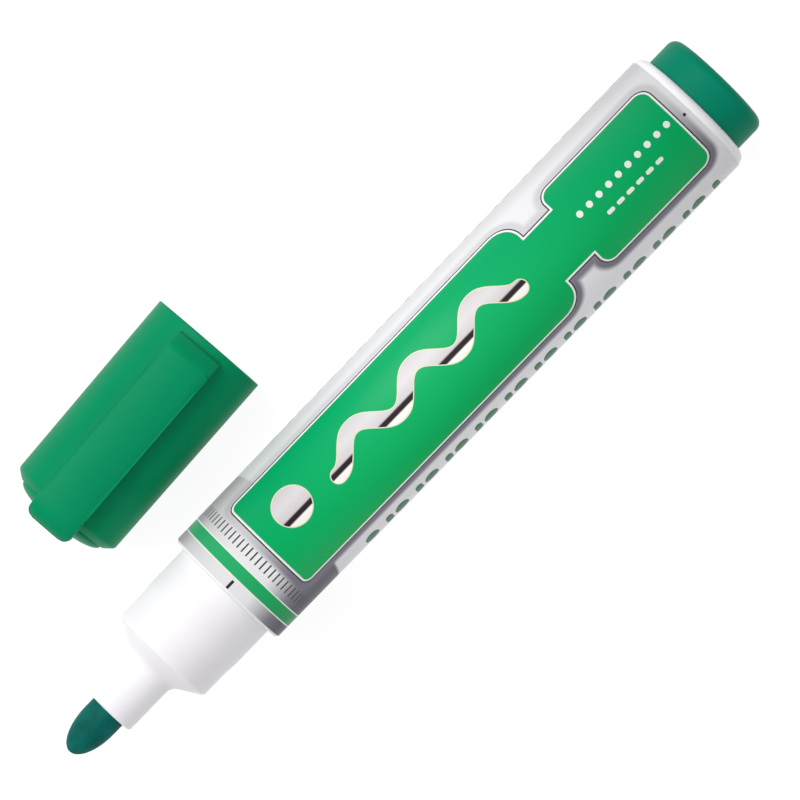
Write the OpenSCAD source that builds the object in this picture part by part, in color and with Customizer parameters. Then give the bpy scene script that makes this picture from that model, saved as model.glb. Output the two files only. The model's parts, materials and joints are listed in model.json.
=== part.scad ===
// Whiteboard marker with its cap taken off and laid beside it.
// X runs along the marker from the nib to the tail, Z is up, and Z = 0 is the
// surface that the marker and the cap lie on.

/* [Nib] */
// Diameter of the fibre nib
nib_d = 5.1; // [4:0.1:6.5]
// Length of nib that shows in front of the nozzle
nib_exposed = 7.2; // [5.6:0.1:9]
// Length of the nib's rounded point
nib_point = 5.5; // [3:0.1:5.6]
// Whole length of the nib
nib_l = 36; // [29:0.5:44]
// Bevel round the nib's hidden end
nib_bevel = 0.4; // [0.1:0.1:1]

/* [Front section] */
// Wall of the nozzle round the nib
nozzle_wall = 1.05; // [0.85:0.05:1.3]
// Length of the nozzle in front of the cone
nozzle_l = 7.7; // [6:0.1:9.5]
// Rounding of the nozzle's front edge
nozzle_edge = 0.4; // [0.2:0.05:0.6]
// Length of the cone from the nozzle to the collar
cone_l = 2.2; // [1.8:0.1:3]
// Length of the collar's slimmer front part
collar_l = 4.1; // [3:0.1:5.5]
// Length of the flare from the collar to the cap's seat
flare_l = 1.4; // [1:0.1:2]
// Length of the cap's seat
seat_l = 6.2; // [5:0.1:8]
// How much smaller in radius the collar is than the cap's seat
lead_step = 0.15; // [0.05:0.05:0.4]
// Wall of the collar and cone
section_wall = 1.1; // [0.9:0.05:1.4]
// Length of the skirt inside the barrel
skirt_l = 7; // [5.5:0.5:9]
// Length of the fins that stop the ink reservoir
fin_l = 6.1; // [4:0.1:8]
// Thickness of the fins in the front section and the tail plug
fin_t = 1; // [0.8:0.1:1.4]
// Width of the air channels along the nib
vent_w = 0.8; // [0.5:0.1:1.2]
// Depth of the air channels along the nib
vent_depth = 0.45; // [0.2:0.05:0.6]

/* [Barrel] */
// Length of the barrel
barrel_l = 85.8; // [68:0.1:106]
// Diameter at the barrel's front edge
barrel_front_d = 17.7; // [14.5:0.1:21.5]
// Diameter at the barrel's rear edge
barrel_rear_d = 18.6; // [15.3:0.1:22.5]
// Wall at the front socket
front_wall = 1.05; // [0.8:0.05:1.3]
// Wall at the rear socket
rear_wall = 1.6; // [1.2:0.05:1.9]
// How much smaller in radius the bore is than the narrower socket
socket_step = 0.4; // [0.2:0.05:0.5]
// Rounding of the barrel's front edge
front_edge = 0.35; // [0.1:0.05:0.6]
// Rounding of the barrel's rear edge
rear_edge = 1.35; // [0.5:0.05:1.4]
// How far the barrel stands proud of the cap's seat
seat_step = 1.35; // [1.1:0.05:1.7]

/* [Label film] */
// Thickness of the printed film
film_t = 0.08; // [0.04:0.01:0.15]
// Thickness of the glue under it
glue_t = 0.01; // [0.01:0.005:0.03]
// Width of the open seam where the film's edges meet
film_seam = 0.4; // [0.2:0.1:1]
// Where the seam lies, in degrees round from the top
seam_angle = 155; // [120:5:240]

/* [Ink reservoir] */
// Thickness of the film round the reservoir
wrap_t = 0.15; // [0.1:0.01:0.25]
// Depth of the tail plug's fins, ahead of the barrel's rear edge
plug_stop = 6.6; // [4:0.1:7.5]

/* [Tail plug] */
// Length of plug that shows behind the barrel
plug_l = 4.7; // [4:0.1:6.5]
// How far the barrel stands proud of the plug
plug_step = 1.4; // [1.15:0.05:1.45]
// Rounding of the plug's rear edge
plug_edge = 1.3; // [0.6:0.1:1.8]
// Length of the spigot inside the barrel
spigot_l = 8; // [7.6:0.1:10]
// Least wall of the spigot
spigot_wall = 1.3; // [1:0.05:1.6]
// Thickness of the plug's end
plug_end_t = 1.2; // [0.9:0.1:1.6]

/* [Cap shell] */
// Wall of the cap at its mouth
cap_wall = 0.75; // [0.6:0.05:1.1]
// How much the cap narrows in radius towards its closed end
cap_draft = 0.28; // [0:0.02:0.4]
// Wall of the cap round the inner cup
cap_deep_wall = 0.8; // [0.6:0.05:0.9]
// Length of the bevel round the closed end
end_bevel_l = 1; // [0.5:0.1:1.1]
// Thickness of the inward lip at the closed end
end_lip_t = 1; // [0.8:0.1:1.3]
// Bevel inside the mouth that leads the cap onto its seat
mouth_bevel = 0.3; // [0.1:0.05:0.5]
// Number of ribs that carry the inner cup
rib_count = 6; // [3:1:8]
// Thickness of those ribs
rib_t = 0.8; // [0.5:0.1:1.2]
// How far the ribs start behind the cup's rim
rib_setback = 1; // [0.5:0.5:4]

/* [Cap clip] */
// Width of the clip
clip_w = 6.8; // [5.5:0.1:9]
// Thickness of the clip
clip_t = 1.5; // [1.2:0.05:1.9]
// Gap between the clip and the cap
clip_gap = 1; // [0.8:0.05:1.4]
// How far the clip's nose overhangs the closed end
clip_overhang = 2.5; // [2.2:0.1:3.4]
// How far the clip's free end stays behind the mouth
clip_setback = 1.2; // [1:0.1:2.4]
// Length of the solid root that joins the clip to the cap
clip_root_l = 7; // [5:0.5:9]
// Gap under the bead at the clip's free end
bead_gap = 0.15; // [0.1:0.05:0.3]
// Length of that bead
bead_l = 1.5; // [1:0.1:2.5]
// Length of the slope down to the bead
clip_slope_l = 2.5; // [2.2:0.1:4]
// Rounding of the nose's corners, seen from above
nose_corner = 1.3; // [0.5:0.1:2]
// Thickness of the clip's nose and of its free end
nose_t = 0.5; // [0.3:0.1:0.7]

/* [Cap inner cup] */
// Wall of the inner cup
cup_wall = 0.85; // [0.7:0.05:1]
// Air gap between the cup and the cap
air_gap = 0.75; // [0.5:0.05:1]
// Air gap at the lip of the closed end
lip_gap = 0.3; // [0.2:0.05:0.4]
// How far the cup's domed end stands out of the cap
cup_proud = 1.6; // [1.1:0.1:1.8]

/* [Where the cap lies] */
// Free space between the barrel and the cap
cap_aside = 5.5; // [3.5:0.1:12]
// From the nib's tip back to the middle of the cap
cap_back = 35.5; // [20:0.1:60]
// Turn of the cap out of line with the marker, in degrees
cap_turn = 3.3; // [0:0.1:6]
// Roll of the clip away from the top, in degrees
cap_roll = 1.5; // [0:0.1:10]

/* [Fits] */
// Radial gap of a pressed joint
press_gap = 0.02; // [0.01:0.01:0.03]
// Radial gap between the nib and what holds it
nib_gap = 0.05; // [0.02:0.01:0.08]
// Radial gap round the wrapped reservoir
core_gap = 0.15; // [0.05:0.05:0.3]
// Gap at the end of a spigot or a reservoir
end_gap = 0.1; // [0.05:0.05:0.2]
// Radial gap between the cap and its seat
cap_fit = 0.03; // [0.01:0.01:0.05]
// Gap between the cap's mouth and the barrel when the cap is on
mouth_gap = 0.2; // [0.1:0.05:0.4]
// Gap between the nib's tip and the cup when the cap is on
tip_gap = 1; // [0.6:0.1:1.5]
// Gap between the cup's rim and the cone when the cap is on
seal_gap = 0.05; // [0.02:0.01:0.1]

/* [Hidden] */

$fn = 96;
// Steps in a drawn arc
arc_n = 8;
// How far a cut runs past the surface it opens
cut = 1;
// How far a fin or rib is rooted in its wall
root = 0.3;
fin_count = 4;

// Stations along the marker, measured back from the nib's tip
nozzle_x = nib_exposed;
cone_x = nozzle_x + nozzle_l;
collar_x = cone_x + cone_l;
flare_x = collar_x + collar_l;
seat_x = flare_x + flare_l;
barrel_x = seat_x + seat_l;
tail_x = barrel_x + barrel_l;
end_x = tail_x + plug_l;
skirt_end = barrel_x + skirt_l;
spigot_x = tail_x - spigot_l;
core_x = collar_x + fin_l;
core_end = tail_x - plug_stop;

// Radii along the marker
nib_r = nib_d / 2;
nozzle_bore_r = nib_r + nib_gap;
nozzle_r = nozzle_bore_r + nozzle_wall;
barrel_front_r = barrel_front_d / 2;
barrel_rear_r = barrel_rear_d / 2;
seat_r = barrel_front_r - seat_step;
collar_r = seat_r - lead_step;
front_socket_r = barrel_front_r - front_wall;
rear_socket_r = barrel_rear_r - rear_wall;
barrel_bore_r = min(front_socket_r, rear_socket_r) - socket_step;
skirt_r = front_socket_r - press_gap;
spigot_r = rear_socket_r - press_gap;
plug_r = barrel_rear_r - plug_step;
core_bore_r = min(collar_r - section_wall, spigot_r - spigot_wall);
wrap_r = core_bore_r - core_gap;
core_r = wrap_r - wrap_t - press_gap;
film_r = max(barrel_front_r, barrel_rear_r) + glue_t + film_t;

// The cone's rise in radius over its length, and the wall measured along X
cone_slope = (collar_r - nozzle_r) / cone_l;
cone_shift = section_wall * sqrt(1 + cone_slope * cone_slope) / cone_slope;

// The cap, measured from its mouth towards its closed end
cap_bore_r = seat_r + cap_fit;
cap_r = cap_bore_r + cap_wall;
cap_end_r = cap_r - cap_draft;
cap_deep_r = cap_end_r - cap_deep_wall;
cup_r = cap_deep_r - air_gap;
cup_bore_r = cup_r - cup_wall;
lip_r = cup_r + lip_gap;
cap_l = barrel_x - mouth_gap + tip_gap + cup_wall - cup_proud;
rim_u = barrel_x - mouth_gap - cone_outer_x(cup_bore_r) + seal_gap;
clip_inner_r = cap_r + clip_gap;
clip_outer_r = clip_inner_r + clip_t;
// Radius that the clip's nose comes down to
nose_r = cap_end_r;
// Radius inside the cap's wall where the clip's root starts
clip_root_r = cap_end_r - cap_deep_wall / 2;

// Where the marker's axis and the cap lie on the surface
cap_y = barrel_front_r + cap_r + cap_aside;
cap_reach = cap_y + cap_l / 2 * sin(cap_turn) + cap_r * cos(cap_turn);
marker_y = (film_r - cap_reach) / 2;
marker_z = film_r;

// Where the cone's outside and inside reach radius r
function cone_outer_x(r) = cone_x + (r - nozzle_r) / cone_slope;
function cone_inner_x(r) = cone_outer_x(r) + cone_shift;

// Points of an arc about c from angle a to angle b, with radii rx and ry
function arc(c, rx, ry, a, b) = [for (i = [0:arc_n])
    let (t = a + (b - a) * i / arc_n) c + [rx * cos(t), ry * sin(t)]];

// A turned shape along +X from an outline of [radius, x] points
module turned() {
    rotate([0, 90, 0]) rotate_extrude() children();
}

// A turned shape along -X from an outline of [radius, distance] points
module turned_back() {
    rotate([0, -90, 0]) rotate_extrude() children();
}

// Puts a shape measured from the nib's tip where the marker lies
module on_marker() {
    translate([-end_x / 2, marker_y, marker_z]) children();
}

// Puts a shape measured from the cap's mouth where the cap lies
module on_cap() {
    translate([cap_back - end_x / 2, marker_y + cap_y, cap_r])
        rotate([0, 0, cap_turn]) rotate([-cap_roll, 0, 0])
            translate([cap_l / 2, 0, 0]) children();
}

// Fins of thickness fin_t that reach out to radius r, from x1 to x2
module fins(r, x1, x2, first_angle) {
    for (i = [0:fin_count - 1])
        rotate([first_angle + i * 360 / fin_count, 0, 0])
            translate([x1, -fin_t / 2, 0]) cube([x2 - x1, fin_t, r]);
}

module nib() {
    color("#00564a") on_marker() turned() polygon(concat(
        arc([0, nib_point], nib_r, nib_point, -90, 0),
        [[nib_r, nib_l - nib_bevel], [nib_r - nib_bevel, nib_l], [0, nib_l]]));
}

module front_section() {
    color("#f4f4f6") on_marker() difference() {
        union() {
            turned() polygon(concat(
                [[nozzle_bore_r, nozzle_x]],
                arc([nozzle_r - nozzle_edge, nozzle_x + nozzle_edge],
                    nozzle_edge, nozzle_edge, -90, 0),
                [[nozzle_r, cone_x], [collar_r, collar_x], [collar_r, flare_x],
                    [seat_r, seat_x], [seat_r, barrel_x], [skirt_r, barrel_x],
                    [skirt_r, skirt_end], [core_bore_r, skirt_end],
                    [core_bore_r, cone_inner_x(core_bore_r)],
                    [nozzle_bore_r, cone_inner_x(nozzle_bore_r)]]));
            section_fins();
        }
        nozzle_vents();
    }
}

// The fins in the cone that the reservoir rests against
module section_fins() {
    inner_r = nozzle_bore_r + vent_depth;
    outer_r = core_bore_r + root;
    intersection() {
        fins(outer_r, cone_x, core_x, 45);
        turned() polygon([[inner_r, cone_inner_x(inner_r) - root],
            [outer_r, cone_inner_x(core_bore_r) - root],
            [outer_r, core_x], [inner_r, core_x]]);
    }
}

// Channels beside the nib that let air into the barrel
module nozzle_vents() {
    vent_r = nozzle_bore_r + vent_depth;
    for (i = [0:fin_count - 1])
        rotate([i * 360 / fin_count, 0, 0])
            translate([nozzle_x - cut, -vent_w / 2, 0])
                cube([cone_inner_x(vent_r) - nozzle_x + cut, vent_w, vent_r]);
}

module barrel() {
    color("#ececee") on_marker() turned() polygon(concat(
        [[front_socket_r, barrel_x]],
        arc([barrel_front_r - front_edge, barrel_x + front_edge],
            front_edge, front_edge, -90, 0),
        arc([barrel_rear_r - rear_edge, tail_x - rear_edge],
            rear_edge, rear_edge, 0, 90),
        [[rear_socket_r, tail_x], [rear_socket_r, spigot_x - end_gap],
            [barrel_bore_r, spigot_x - end_gap], [barrel_bore_r, skirt_end],
            [front_socket_r, skirt_end]]));
}

module label_film() {
    front_r = barrel_front_r + glue_t;
    rear_r = barrel_rear_r + glue_t;
    film_x = barrel_x + front_edge;
    film_end = tail_x - rear_edge;
    color("#07ae66") on_marker() difference() {
        turned() polygon([[front_r, film_x], [front_r + film_t, film_x],
            [rear_r + film_t, film_end], [rear_r, film_end]]);
        rotate([seam_angle, 0, 0]) translate([film_x - cut, -film_seam / 2, 0])
            cube([film_end - film_x + 2 * cut, film_seam, film_r + cut]);
    }
}

module ink_reservoir() {
    socket_r = nib_r + nib_gap;
    color("#2f8f6d") on_marker() turned() polygon([[socket_r, core_x],
        [core_r, core_x], [core_r, core_end - end_gap], [0, core_end - end_gap],
        [0, nib_l + end_gap], [socket_r, nib_l + end_gap]]);
}

module reservoir_wrap() {
    inner_r = wrap_r - wrap_t;
    color("#e8ecef") on_marker() turned() polygon([[inner_r, core_x],
        [wrap_r, core_x], [wrap_r, core_end - end_gap],
        [inner_r, core_end - end_gap]]);
}

module tail_plug() {
    inside_end = end_x - plug_end_t;
    color("#007f63") on_marker() {
        turned() polygon(concat(
            [[core_bore_r, spigot_x], [spigot_r, spigot_x], [spigot_r, tail_x],
                [plug_r, tail_x]],
            arc([plug_r - plug_edge, end_x - plug_edge], plug_edge, plug_edge, 0, 90),
            [[0, end_x], [0, inside_end], [core_bore_r, inside_end]]));
        fins(core_bore_r + root, core_end, inside_end + root, 45);
    }
}

module cap_shell() {
    color("#00985f") on_cap() {
        turned_back() polygon([[cap_bore_r + mouth_bevel, 0], [cap_r, 0],
            [cap_end_r, cap_l - end_bevel_l], [lip_r, cap_l],
            [lip_r, cap_l - end_lip_t], [cap_deep_r, cap_l - end_lip_t],
            [cap_deep_r, rim_u], [cap_bore_r, rim_u], [cap_bore_r, mouth_bevel]]);
        cup_ribs();
        clip();
    }
}

// The ribs inside the cap that grip the inner cup and let air pass it
module cup_ribs() {
    intersection() {
        for (i = [0:rib_count - 1])
            rotate([i * 360 / rib_count, 0, 0])
                translate([-cap_l, -rib_t / 2, 0])
                    cube([cap_l, rib_t, cap_r]);
        turned_back() polygon([[cup_r + press_gap, rim_u + rib_setback],
            [cap_deep_r + root, rim_u + rib_setback],
            [cap_deep_r + root, cap_l - end_lip_t],
            [cup_r + press_gap, cap_l - end_lip_t]]);
    }
}

// The clip: a turned outline, cut to the clip's plan
module clip() {
    nose_u = cap_l + clip_overhang;
    nose_l = clip_overhang + end_bevel_l;
    slope_u = clip_setback + clip_slope_l;
    root_u = cap_l - clip_root_l;
    intersection() {
        turned_back() polygon(concat(
            [[cap_r + bead_gap, clip_setback + bead_gap],
                [cap_r + bead_gap + nose_t, clip_setback],
                [clip_outer_r, slope_u]],
            arc([nose_r, nose_u - nose_l], clip_outer_r - nose_r, nose_l, 0, 90),
            [[nose_r - nose_t, nose_u - nose_t], [nose_r - nose_t, cap_l],
                [clip_root_r, cap_l - end_bevel_l], [clip_root_r, root_u],
                [clip_inner_r, root_u - clip_gap], [clip_inner_r, slope_u],
                [cap_r + bead_gap, clip_setback + bead_l]]));
        translate([-nose_u, -clip_w / 2, 0]) linear_extrude(clip_outer_r) clip_plan();
    }
}

// The clip seen from above, with its nose at x = 0
module clip_plan() {
    whole_l = cap_l + clip_overhang - clip_setback;
    translate([nose_corner, 0]) square([whole_l - nose_corner, clip_w]);
    translate([0, nose_corner]) square([nose_corner, clip_w - 2 * nose_corner]);
    for (y = [nose_corner, clip_w - nose_corner])
        translate([nose_corner, y]) circle(nose_corner);
}

module cap_inner_cup() {
    color("#008a5a") on_cap() turned_back() polygon(concat(
        [[cup_bore_r, rim_u], [cup_r, rim_u]],
        arc([0, cap_l], cup_r, cup_proud, 0, 90),
        arc([0, cap_l - cup_wall], cup_bore_r, cup_proud, 90, 0)));
}

nib();
front_section();
barrel();
label_film();
ink_reservoir();
reservoir_wrap();
tail_plug();
cap_shell();
cap_inner_cup();
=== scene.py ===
import json
import math

import bmesh
import bpy
from mathutils import Matrix, Vector


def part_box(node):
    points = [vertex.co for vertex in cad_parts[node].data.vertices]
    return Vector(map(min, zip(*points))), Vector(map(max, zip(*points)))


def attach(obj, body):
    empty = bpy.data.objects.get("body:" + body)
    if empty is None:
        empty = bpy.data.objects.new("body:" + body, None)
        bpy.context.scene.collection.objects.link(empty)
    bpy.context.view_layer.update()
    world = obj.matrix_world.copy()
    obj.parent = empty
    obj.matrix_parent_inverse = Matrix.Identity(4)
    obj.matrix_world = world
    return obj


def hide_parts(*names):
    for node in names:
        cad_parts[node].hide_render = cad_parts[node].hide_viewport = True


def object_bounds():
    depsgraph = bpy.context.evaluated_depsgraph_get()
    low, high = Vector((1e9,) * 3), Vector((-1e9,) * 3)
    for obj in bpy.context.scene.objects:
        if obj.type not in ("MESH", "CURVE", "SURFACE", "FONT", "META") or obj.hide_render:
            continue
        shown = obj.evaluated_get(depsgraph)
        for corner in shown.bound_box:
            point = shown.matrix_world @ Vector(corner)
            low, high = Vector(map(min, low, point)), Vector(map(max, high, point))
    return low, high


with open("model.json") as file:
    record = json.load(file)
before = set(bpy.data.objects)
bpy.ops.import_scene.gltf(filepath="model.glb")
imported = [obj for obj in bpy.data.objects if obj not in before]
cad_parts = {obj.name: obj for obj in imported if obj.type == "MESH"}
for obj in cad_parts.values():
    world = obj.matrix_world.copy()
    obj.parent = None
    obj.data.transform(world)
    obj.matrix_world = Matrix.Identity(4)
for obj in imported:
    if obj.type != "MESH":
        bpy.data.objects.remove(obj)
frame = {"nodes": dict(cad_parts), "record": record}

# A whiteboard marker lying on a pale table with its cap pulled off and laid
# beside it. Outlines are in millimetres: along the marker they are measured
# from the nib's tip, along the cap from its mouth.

CAD_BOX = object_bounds()
MM = 0.001
MOUNTS = {m["name"]: m for m in frame["record"]["mounts"]}

# Steps round a turned piece, in a rounded corner and along a dome
TURN_STEPS = 144
ROUND_STEPS = 5
DOME_STEPS = 16
# Corners sharper than this stay crisp, in degrees
CRISP_ANGLE = 40


# ---------------------------------------------------------------- places
def span(node):
    """Where a node of the marker starts and ends, in mm from the nib's tip."""
    low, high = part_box(node)
    return (low.x - TIP.x) / MM, (high.x - TIP.x) / MM


def radius(node):
    """Half a node's height, in mm."""
    low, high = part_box(node)
    return (high.z - low.z) / 2 / MM


NIB_LOW, NIB_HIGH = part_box("nib")
TIP = Vector((NIB_LOW.x, (NIB_LOW.y + NIB_HIGH.y) / 2, (NIB_LOW.z + NIB_HIGH.z) / 2))
MARKER = Matrix.Translation(TIP) @ Matrix.Scale(MM, 4)

NIB_END = span("nib")[1]
NOZZLE_X, SKIRT_END = span("front_section")
BARREL_X, TAIL_X = span("barrel")
FILM_X, FILM_END = span("label_film")
SPIGOT_X, END_X = span("tail_plug")
NIB_R = radius("nib")
SKIRT_R = radius("front_section")
BARREL_REAR_R = radius("barrel")
PLUG_R = radius("tail_plug")
SEAT_R = MOUNTS["cap_seat"]["dims"]["r_mm"]
SEAT_X = BARREL_X - MOUNTS["cap_seat"]["dims"]["length_mm"]

# The clearance left all round where one piece is pressed into another
PRESS_GAP = 0.02

# Nib
NIB_POINT_L = 5.5
NIB_END_EDGE = 0.4

# Front section
NOZZLE_L = 7.7
CONE_L = 2.2
COLLAR_L = 4.1
COLLAR_STEP = 0.15
COLLAR_R = SEAT_R - COLLAR_STEP
NIB_GAP = 0.05
NOZZLE_WALL = 1.05
NOZZLE_R = NIB_R + NIB_GAP + NOZZLE_WALL
NOZZLE_EDGE = 0.4
CONE_ROOT = 0.9
CONE_EDGE = 0.35
SEAT_EDGE = 0.5
SKIRT_EDGE = 0.3
SECTION_WALL = 1.1
CORE_BORE_R = COLLAR_R - SECTION_WALL
VENT_COUNT = 4
VENT_W = 0.8
VENT_DEPTH = 0.45

# Barrel and film
BARREL_STEP = 1.35
BARREL_FRONT_R = SEAT_R + BARREL_STEP
FRONT_EDGE = FILM_X - BARREL_X
REAR_EDGE = TAIL_X - FILM_END
REAR_WALL = 1.6
SOCKET_LEDGE = 0.4
FRONT_SOCKET_R = SKIRT_R + PRESS_GAP
REAR_SOCKET_R = BARREL_REAR_R - REAR_WALL
REAR_SOCKET_EDGE = 0.12
REAR_SOCKET_SPARE = 0.1
BARREL_BORE_R = REAR_SOCKET_R - SOCKET_LEDGE
FILM_T = 0.08
FILM_GLUE = 0.01
FILM_SEAM = 0.4
# Where the seam is, in degrees round from the top
SEAM_ANGLE = 155

# Tail plug; the gate is the small pit that moulding leaves in its end
SPIGOT_R = REAR_SOCKET_R - PRESS_GAP
SPIGOT_EDGE = 0.3
PLUG_EDGE = 1.3
PLUG_END_T = 1.2
PLUG_INNER_EDGE = 0.5
GATE_R = 0.9
GATE_DEPTH = 0.15
GATE_DRAFT = 0.1

# Cap, measured from its mouth towards its closed end
CAP_BORE_R = MOUNTS["cap_mouth"]["dims"]["r_mm"]
MOUTH_BEVEL = 0.3
RIM_U = MOUTH_BEVEL + MOUNTS["cap_mouth"]["dims"]["length_mm"]
CAP_WALL = 0.75
CAP_TAPER = 0.28
CAP_DEEP_WALL = 0.8
CAP_R = CAP_BORE_R + CAP_WALL
CAP_END_R = CAP_R - CAP_TAPER
CAP_DEEP_R = CAP_END_R - CAP_DEEP_WALL
CAP_L = 28.85
END_BEVEL_L = 1.0
END_LIP_T = 1.0
CUP_AIR_GAP = 0.75
CUP_R = CAP_DEEP_R - CUP_AIR_GAP
CUP_WALL = 0.85
CUP_PROUD = 1.6
CUP_RIM_EDGE = 0.2
LIP_R = CUP_R + 0.3
RIB_COUNT = 6
RIB_T = 0.8
RIB_SETBACK = 1.0
RIB_ROOT = 0.3

# Clip; its bead is the low end that grips a pocket's edge
CLIP_W = 6.8
CLIP_T = 1.5
CLIP_GAP = 1.0
CLIP_START = 1.2
CLIP_NOSE = CAP_L + 2.5
CLIP_ROOT_L = 7.0
CLIP_ROOT_SINK = 0.4
CLIP_SLOPE_L = 2.5
CLIP_SLOPE_CURVE = 1.6
CLIP_EDGE = 0.6
CLIP_EDGE_STEPS = 4
CLIP_STEPS_ACROSS = 12
BEAD_GAP = 0.15
BEAD_L = 1.5
BEAD_LEAD_IN = 0.1
NOSE_L = CLIP_NOSE - CAP_L + END_BEVEL_L
NOSE_T = 0.5
NOSE_LIFT = 0.1
NOSE_CORNER = 1.3
# Radii of its inner face at the bead, beside the cap, at the root and at the nose
BEAD_R = CAP_R + BEAD_GAP
CLIP_INNER_R = CAP_R + CLIP_GAP
CLIP_ROOT_R = CAP_END_R - CLIP_ROOT_SINK
NOSE_INNER_R = CAP_END_R - NOSE_T
# Places along the clip, each with how many steps lead up to it and the radius
# of the inner face there
CLIP_STATIONS = (
    (CLIP_START, 1, BEAD_R + BEAD_LEAD_IN),
    (CLIP_START + BEAD_GAP, 1, BEAD_R),
    (CLIP_START + BEAD_L, 2, BEAD_R),
    (CLIP_START + CLIP_SLOPE_L, 4, CLIP_INNER_R),
    (CAP_L - CLIP_ROOT_L - CLIP_GAP, 6, CLIP_INNER_R),
    (CAP_L - CLIP_ROOT_L, 2, CLIP_ROOT_R),
    (CAP_L - END_BEVEL_L, 6, CLIP_ROOT_R),
    (CAP_L, 3, NOSE_INNER_R),
    (CLIP_NOSE, 14, NOSE_INNER_R + NOSE_LIFT))


def cap_place():
    """The cap's own axes: X from its mouth to its closed end, Z towards the clip."""
    mouth_way = Vector(MOUNTS["cap_mouth"]["axis"]).normalized()
    half_bore = MOUNTS["cap_mouth"]["dims"]["length_mm"] / 2
    mouth = Vector(MOUNTS["cap_mouth"]["pos_m"]) + mouth_way * (half_bore + MOUTH_BEVEL) * MM
    x_axis = -mouth_way
    towards_clip = Vector(MOUNTS["pocket_clip"]["pos_m"]) - mouth
    z_axis = (towards_clip - towards_clip.dot(x_axis) * x_axis).normalized()
    axes = Matrix((x_axis, z_axis.cross(x_axis), z_axis)).transposed().to_4x4()
    return Matrix.Translation(mouth) @ axes @ Matrix.Scale(MM, 4)


CAP = cap_place()


# ---------------------------------------------------------------- shapes
# Points nearer than this are one, slivers are narrower, and a face this near
# a surface lies on it, all in mm
SAME_POINT = 1e-4
SLIVER_W = 2e-3
ON_FACE = 0.01


def round_corners(bm, corners):
    """Rounds the wire's corners, each by its own cut-back in mm."""
    for size in sorted({size for _, size in corners if size}):
        bmesh.ops.bevel(
            bm, geom=[v for v, s in corners if s == size], offset=size,
            offset_type="OFFSET", segments=ROUND_STEPS, profile=0.5,
            affect="VERTICES", material=-1)


def draw_outline(bm, outline, closed):
    """A wire through (x, radius, rounding) corners, in the plane through the axis."""
    verts = [bm.verts.new((x, 0, r)) for x, r, _ in outline]
    pairs = zip(verts, verts[1:] + verts[:1] if closed else verts[1:])
    for a, b in pairs:
        bm.edges.new((a, b))
    round_corners(bm, [(v, size) for v, (_, _, size) in zip(verts, outline)])


def spin_wire(bm, angle=math.tau, steps=TURN_STEPS):
    """Turns every wire about the X axis and closes seams and poles."""
    full = angle == math.tau
    bmesh.ops.spin(
        bm, geom=bm.verts[:] + bm.edges[:], cent=(0, 0, 0), axis=(1, 0, 0),
        angle=angle, steps=steps, use_merge=full)
    bmesh.ops.remove_doubles(bm, verts=bm.verts, dist=SAME_POINT)


def dome(bm, x, r, height, towards):
    """A quarter-ellipse wire from the axis at x to radius r, height behind it.
    Returns its vertex at radius r."""
    others = set(bm.verts)
    start = bm.verts.new((0, 0, r))
    bmesh.ops.spin(
        bm, geom=[start], cent=(0, 0, 0), axis=(0, 1, 0),
        angle=towards * math.pi / 2, steps=DOME_STEPS)
    verts = [v for v in bm.verts if v not in others]
    bmesh.ops.scale(bm, vec=(height / r, 1, 1), verts=verts)
    bmesh.ops.translate(bm, vec=(x - towards * height, 0, 0), verts=verts)
    return start


def finish_piece(bm, name, place, body, material, node):
    """Puts a mesh in place and hands it over as the piece that stands for its node."""
    bmesh.ops.recalc_face_normals(bm, faces=bm.faces)
    bmesh.ops.transform(bm, matrix=place, verts=bm.verts)
    for face in bm.faces:
        face.smooth = True
    mesh = bpy.data.meshes.new(name)
    bm.to_mesh(mesh)
    bm.free()
    mesh.set_sharp_from_angle(angle=math.radians(CRISP_ANGLE))
    mesh.materials.append(material)
    obj = bpy.data.objects.new(name, mesh)
    bpy.context.scene.collection.objects.link(obj)
    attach(obj, body)
    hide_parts(node)
    return obj


def weight_normals(obj):
    """Keeps broad faces flat in shading beside their small rounded edges."""
    modifier = obj.modifiers.new("weighted_normals", "WEIGHTED_NORMAL")
    modifier.keep_sharp = True


# ---------------------------------------------------------------- materials
def colour(hex_code):
    """An sRGB hex colour as linear RGBA."""
    parts = [int(hex_code[i:i + 2], 16) / 255 for i in (1, 3, 5)]
    linear = [c / 12.92 if c <= 0.04045 else ((c + 0.055) / 1.055) ** 2.4 for c in parts]
    return (*linear, 1.0)


def add(tree, kind, settings=None, links=None):
    """Adds a node with its settings, and with its inputs linked to a node or a
    socket, or set to a value or a hex colour."""
    node = tree.nodes.new(kind)
    for key, value in (settings or {}).items():
        setattr(node, key, value)
    for key, value in (links or {}).items():
        if isinstance(value, bpy.types.Node):
            value = next(socket for socket in value.outputs if socket.enabled)
        if isinstance(value, bpy.types.NodeSocket):
            tree.links.new(value, node.inputs[key])
        elif isinstance(value, str):
            node.inputs[key].default_value = colour(value)
        else:
            node.inputs[key].default_value = value
    return node


def new_material(name):
    """An empty material with its tree, shader and object coordinates in mm."""
    material = bpy.data.materials.new(name)
    material.use_nodes = True
    tree = material.node_tree
    tree.nodes.clear()
    shader = add(tree, "ShaderNodeBsdfPrincipled")
    add(tree, "ShaderNodeOutputMaterial", links={"Surface": shader})
    place = add(tree, "ShaderNodeTexCoord")
    in_mm = add(tree, "ShaderNodeVectorMath", {"operation": "SCALE"},
                {0: place.outputs["Object"], "Scale": 1 / MM})
    return material, tree, shader, in_mm


# Patterns in each millimetre of the surface
CLOUDS_PER_MM = 0.16
BLOTS_PER_MM = 0.45
STRETCH_MARKS_PER_MM = 0.8
RIPPLES_PER_MM = 0.12
RIPPLE_DEPTH = 0.02
SPECKS_PER_MM = 0.5
# How much the gloss of a moulded skin varies
GLOSS_SWING = 0.05
# How far light wanders in white plastic, in mm
GLOW_MM = 0.6
# How far the fibres' threads are drawn out lengthwise, and their part in the
# colour beside the ink's blots
THREAD_DRAW = 0.09
THREAD_PART = 0.6
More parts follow.
